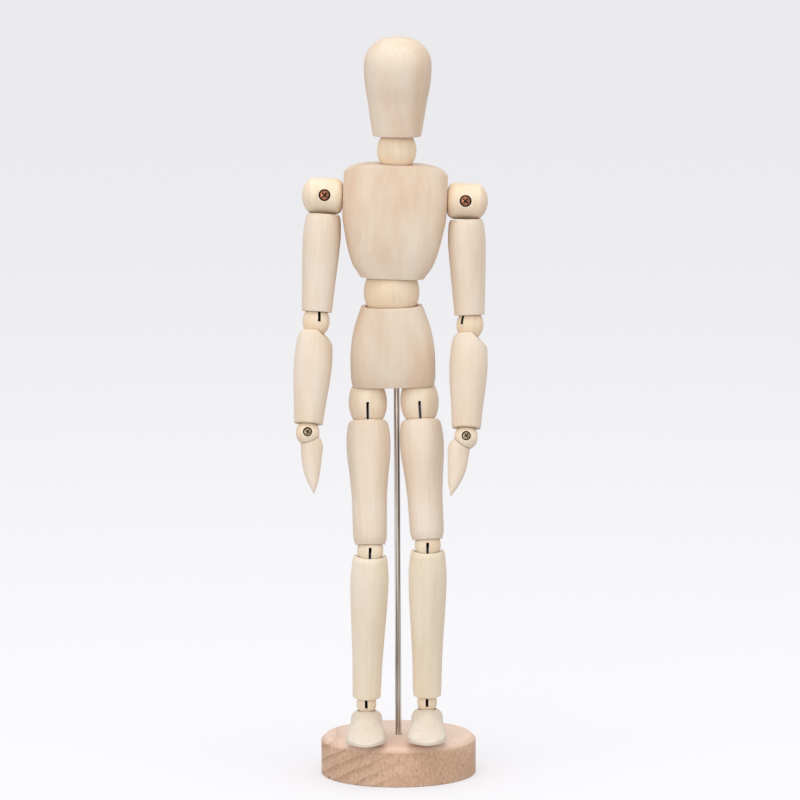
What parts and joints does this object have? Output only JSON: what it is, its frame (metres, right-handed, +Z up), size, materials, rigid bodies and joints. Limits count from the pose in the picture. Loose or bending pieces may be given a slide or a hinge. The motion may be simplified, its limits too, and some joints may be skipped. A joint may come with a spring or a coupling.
{
  "type": "artist mannequin",
  "caption": "Jointed wooden drawing figure with ball joints and screwed shoulders and wrists, held on a thin steel rod in a round wooden base.",
  "frame": {"origin": "centre of the base's flat underside", "axes": "+Z up along the support rod, -Y the way the figure faces, +X the figure's own left"},
  "size_m": [0.0795, 0.0684, 0.3055],
  "materials": {
    "limb_wood": "sanded, clear matt, pale cream basswood",
    "ball_wood": "turned and sanded, slightly more orange",
    "base_wood": "turned and sanded, pink-brown",
    "rod_steel": "drawn wire, bright",
    "screw_metal": "bronzed cross-head screws",
    "spring_wire": "spring wire",
    "pin_steel": "cut wire pins"
  },
  "bodies": {
    "base": {"base": "base_wood"},
    "support_rod": {"support_rod": "rod_steel"},
    "pelvis": {"pelvis": "limb_wood"},
    "waist_spring": {"waist_spring": "spring_wire"},
    "waist_ball": {"waist_ball": "ball_wood"},
    "torso": {"torso": "limb_wood", "shoulder_spring": "spring_wire"},
    "neck_spring": {"neck_spring": "spring_wire"},
    "neck_ball": {"neck_ball": "ball_wood"},
    "head": {"head": "limb_wood"},
    "right_shoulder_ball": {"right_shoulder_ball": "ball_wood", "right_shoulder_screw": "screw_metal"},
    "right_upper_arm": {"right_upper_arm": "limb_wood", "right_upper_arm_spring": "spring_wire"},
    "right_elbow_ball": {"right_elbow_ball": "ball_wood", "right_elbow_pin": "pin_steel"},
    "right_forearm": {"right_forearm": "limb_wood", "right_forearm_spring": "spring_wire"},
    "right_wrist_ball": {"right_wrist_ball": "ball_wood", "right_wrist_screw": "screw_metal", "right_hand_pin": "pin_steel"},
    "right_hand": {"right_hand": "limb_wood"},
    "left_shoulder_ball": {"left_shoulder_ball": "ball_wood", "left_shoulder_screw": "screw_metal"},
    "left_upper_arm": {"left_upper_arm": "limb_wood", "left_upper_arm_spring": "spring_wire"},
    "left_elbow_ball": {"left_elbow_ball": "ball_wood", "left_elbow_pin": "pin_steel"},
    "left_forearm": {"left_forearm": "limb_wood", "left_forearm_spring": "spring_wire"},
    "left_wrist_ball": {"left_wrist_ball": "ball_wood", "left_wrist_screw": "screw_metal", "left_hand_pin": "pin_steel"},
    "left_hand": {"left_hand": "limb_wood"},
    "right_hip_spring": {"right_hip_spring": "spring_wire"},
    "right_hip_ball": {"right_hip_ball": "ball_wood", "right_hip_pin": "pin_steel"},
    "right_thigh": {"right_thigh": "limb_wood", "right_thigh_spring": "spring_wire"},
    "right_knee_ball": {"right_knee_ball": "ball_wood", "right_knee_pin": "pin_steel"},
    "right_calf": {"right_calf": "limb_wood", "right_calf_spring": "spring_wire"},
    "right_ankle_ball": {"right_ankle_ball": "ball_wood", "right_ankle_pin": "pin_steel", "right_foot_pin": "pin_steel"},
    "right_foot": {"right_foot": "limb_wood"},
    "left_hip_spring": {"left_hip_spring": "spring_wire"},
    "left_hip_ball": {"left_hip_ball": "ball_wood", "left_hip_pin": "pin_steel"},
    "left_thigh": {"left_thigh": "limb_wood", "left_thigh_spring": "spring_wire"},
    "left_knee_ball": {"left_knee_ball": "ball_wood", "left_knee_pin": "pin_steel"},
    "left_calf": {"left_calf": "limb_wood", "left_calf_spring": "spring_wire"},
    "left_ankle_ball": {"left_ankle_ball": "ball_wood", "left_ankle_pin": "pin_steel", "left_foot_pin": "pin_steel"},
    "left_foot": {"left_foot": "limb_wood"}
  },
  "joints": [
    {"name": "figure_turn", "type": "hinge", "parent": "base", "child": "support_rod", "pos_m": [0, 0, 0], "axis": [0, 0, 1], "continuous": true},
    {"name": "figure_lift", "type": "slide", "parent": "support_rod", "child": "pelvis", "axis": [0, 0, 1], "range_m": [0, 0.018]},
    {"name": "waist_turn", "type": "hinge", "parent": "pelvis", "child": "waist_spring", "pos_m": [-0.00188, -0.007, 0.2012], "axis": [-0.014, 0, 0.9999], "range_deg": [-60, 60]},
    {"name": "waist_bend", "type": "hinge", "parent": "waist_spring", "child": "waist_ball", "pos_m": [-0.00188, -0.007, 0.2012], "axis": [0.9999, 0, 0.014], "range_deg": [-18, 18], "deforming": ["waist_spring"]},
    {"name": "waist_lean", "type": "hinge", "parent": "waist_ball", "child": "torso", "pos_m": [-0.00188, -0.007, 0.2012], "axis": [0, 1, 0], "range_deg": [-11, 11], "deforming": ["waist_spring"]},
    {"name": "neck_turn", "type": "hinge", "parent": "torso", "child": "neck_spring", "pos_m": [0.00055, -0.007, 0.25925], "axis": [0.0419, 0, 0.9991], "range_deg": [-80, 80]},
    {"name": "neck_nod", "type": "hinge", "parent": "neck_spring", "child": "neck_ball", "pos_m": [0.00055, -0.007, 0.25925], "axis": [0.9991, 0, -0.0419], "range_deg": [-22, 22], "deforming": ["neck_spring"]},
    {"name": "neck_tilt", "type": "hinge", "parent": "neck_ball", "child": "head", "pos_m": [0.00055, -0.007, 0.25925], "axis": [0, 1, 0], "range_deg": [-22, 22], "deforming": ["neck_spring"]},
    {"name": "right_shoulder_swing", "type": "hinge", "parent": "torso", "child": "right_shoulder_ball", "pos_m": [-0.02895, -0.007, 0.24066], "axis": [-0.9991, 0, 0.0419], "range_deg": [-50, 165]},
    {"name": "right_shoulder_raise", "type": "hinge", "parent": "right_shoulder_ball", "child": "right_upper_arm", "pos_m": [-0.02895, -0.007, 0.24066], "axis": [-0.0058, 0.9903, -0.1391], "range_deg": [-2, 90]},
    {"name": "right_elbow_flex", "type": "hinge", "parent": "right_upper_arm", "child": "right_elbow_ball", "pos_m": [-0.03268, -0.01412, 0.1901], "axis": [-0.9663, -0.2353, 0.1044], "range_deg": [-55, 56]},
    {"name": "right_forearm_turn", "type": "hinge", "parent": "right_elbow_ball", "child": "right_forearm", "pos_m": [-0.03268, -0.01412, 0.1901], "axis": [0.0777, 0.2498, 0.9652], "range_deg": [-85, 85]},
    {"name": "right_wrist_bend", "type": "hinge", "parent": "right_forearm", "child": "right_wrist_ball", "pos_m": [-0.03626, -0.02561, 0.1457], "axis": [-0.0126, 0.9683, -0.2496], "range_deg": [-50, 50]},
    {"name": "right_hand_turn", "type": "hinge", "parent": "right_wrist_ball", "child": "right_hand", "pos_m": [-0.03626, -0.02561, 0.1457], "axis": [-0.1018, 0.2471, 0.9636], "range_deg": [-85, 85]},
    {"name": "left_shoulder_swing", "type": "hinge", "parent": "torso", "child": "left_shoulder_ball", "pos_m": [0.0284, -0.007, 0.23826], "axis": [-0.9991, 0, 0.0419], "range_deg": [-50, 165]},
    {"name": "left_shoulder_raise", "type": "hinge", "parent": "left_shoulder_ball", "child": "left_upper_arm", "pos_m": [0.0284, -0.007, 0.23826], "axis": [0.0042, -0.9951, 0.0992], "range_deg": [-2, 90]},
    {"name": "left_elbow_flex", "type": "hinge", "parent": "left_upper_arm", "child": "left_elbow_ball", "pos_m": [0.03008, -0.01199, 0.18814], "axis": [-0.7901, 0.6067, -0.0869], "range_deg": [-55, 56]},
    {"name": "left_forearm_turn", "type": "hinge", "parent": "left_elbow_ball", "child": "left_forearm", "pos_m": [0.03008, -0.01199, 0.18814], "axis": [-0.0426, -0.2875, -0.9568], "range_deg": [-85, 85]},
    {"name": "left_wrist_bend", "type": "hinge", "parent": "left_forearm", "child": "left_wrist_ball", "pos_m": [0.02809, -0.02539, 0.14355], "axis": [0.0108, -0.9578, 0.2873], "range_deg": [-50, 50]},
    {"name": "left_hand_turn", "type": "hinge", "parent": "left_wrist_ball", "child": "left_hand", "pos_m": [0.02809, -0.02539, 0.14355], "axis": [-0.2562, -0.2804, -0.9251], "range_deg": [-85, 85]},
    {"name": "right_hip_turn", "type": "hinge", "parent": "pelvis", "child": "right_hip_spring", "pos_m": [-0.01185, -0.008, 0.15585], "axis": [-0.014, 0, 0.9999], "range_deg": [-45, 20]},
    {"name": "right_hip_spread", "type": "hinge", "parent": "right_hip_spring", "child": "right_hip_ball", "pos_m": [-0.01185, -0.008, 0.15585], "axis": [0, -1, 0], "range_deg": [-38, 2], "deforming": ["right_hip_spring"]},
    {"name": "right_hip_flex", "type": "hinge", "parent": "right_hip_ball", "child": "right_thigh", "pos_m": [-0.01185, -0.008, 0.15585], "axis": [-0.9999, 0, -0.0122], "range_deg": [-3, 70]},
    {"name": "right_knee_turn", "type": "hinge", "parent": "right_thigh", "child": "right_knee_ball", "pos_m": [-0.01112, -0.02064, 0.09639], "axis": [-0.0119, 0.2079, 0.9781], "range_deg": [-22, 40]},
    {"name": "right_knee_flex", "type": "hinge", "parent": "right_knee_ball", "child": "right_calf", "pos_m": [-0.01112, -0.02064, 0.09639], "axis": [0.9994, -0.0094, -0.0322], "range_deg": [-20, 59]},
    {"name": "right_ankle_flex", "type": "hinge", "parent": "right_calf", "child": "right_ankle_ball", "pos_m": [-0.01314, -0.01192, 0.0312], "axis": [-0.9999, 0.0138, -0.0007], "range_deg": [-3, 36]},
    {"name": "right_foot_turn", "type": "hinge", "parent": "right_ankle_ball", "child": "right_foot", "pos_m": [-0.01314, -0.01192, 0.0312], "axis": [-0.0007, 0.0002, 1], "range_deg": [-60, 28]},
    {"name": "left_hip_turn", "type": "hinge", "parent": "pelvis", "child": "left_hip_spring", "pos_m": [0.00935, -0.008, 0.15615], "axis": [-0.014, 0, 0.9999], "range_deg": [-20, 45]},
    {"name": "left_hip_spread", "type": "hinge", "parent": "left_hip_spring", "child": "left_hip_ball", "pos_m": [0.00935, -0.008, 0.15615], "axis": [0, -1, 0], "range_deg": [-2, 38], "deforming": ["left_hip_spring"]},
    {"name": "left_hip_flex", "type": "hinge", "parent": "left_hip_ball", "child": "left_thigh", "pos_m": [0.00935, -0.008, 0.15615], "axis": [-0.9986, 0, -0.0523], "range_deg": [-3, 70]},
    {"name": "left_knee_turn", "type": "hinge", "parent": "left_thigh", "child": "left_knee_ball", "pos_m": [0.01238, -0.01968, 0.09829], "axis": [-0.0513, 0.1977, 0.9789], "range_deg": [-40, 22]},
    {"name": "left_knee_flex", "type": "hinge", "parent": "left_knee_ball", "child": "left_calf", "pos_m": [0.01238, -0.01968, 0.09829], "axis": [0.9999, -0.0124, -0.0092], "range_deg": [-20, 59]},
    {"name": "left_ankle_flex", "type": "hinge", "parent": "left_calf", "child": "left_ankle_ball", "pos_m": [0.01187, -0.01123, 0.03163], "axis": [-0.9999, 0.0137, -0.0012], "range_deg": [-3, 36]},
    {"name": "left_foot_turn", "type": "hinge", "parent": "left_ankle_ball", "child": "left_foot", "pos_m": [0.01187, -0.01123, 0.03163], "axis": [-0.0012, -0.0002, 1], "range_deg": [-28, 60]}
  ]
}
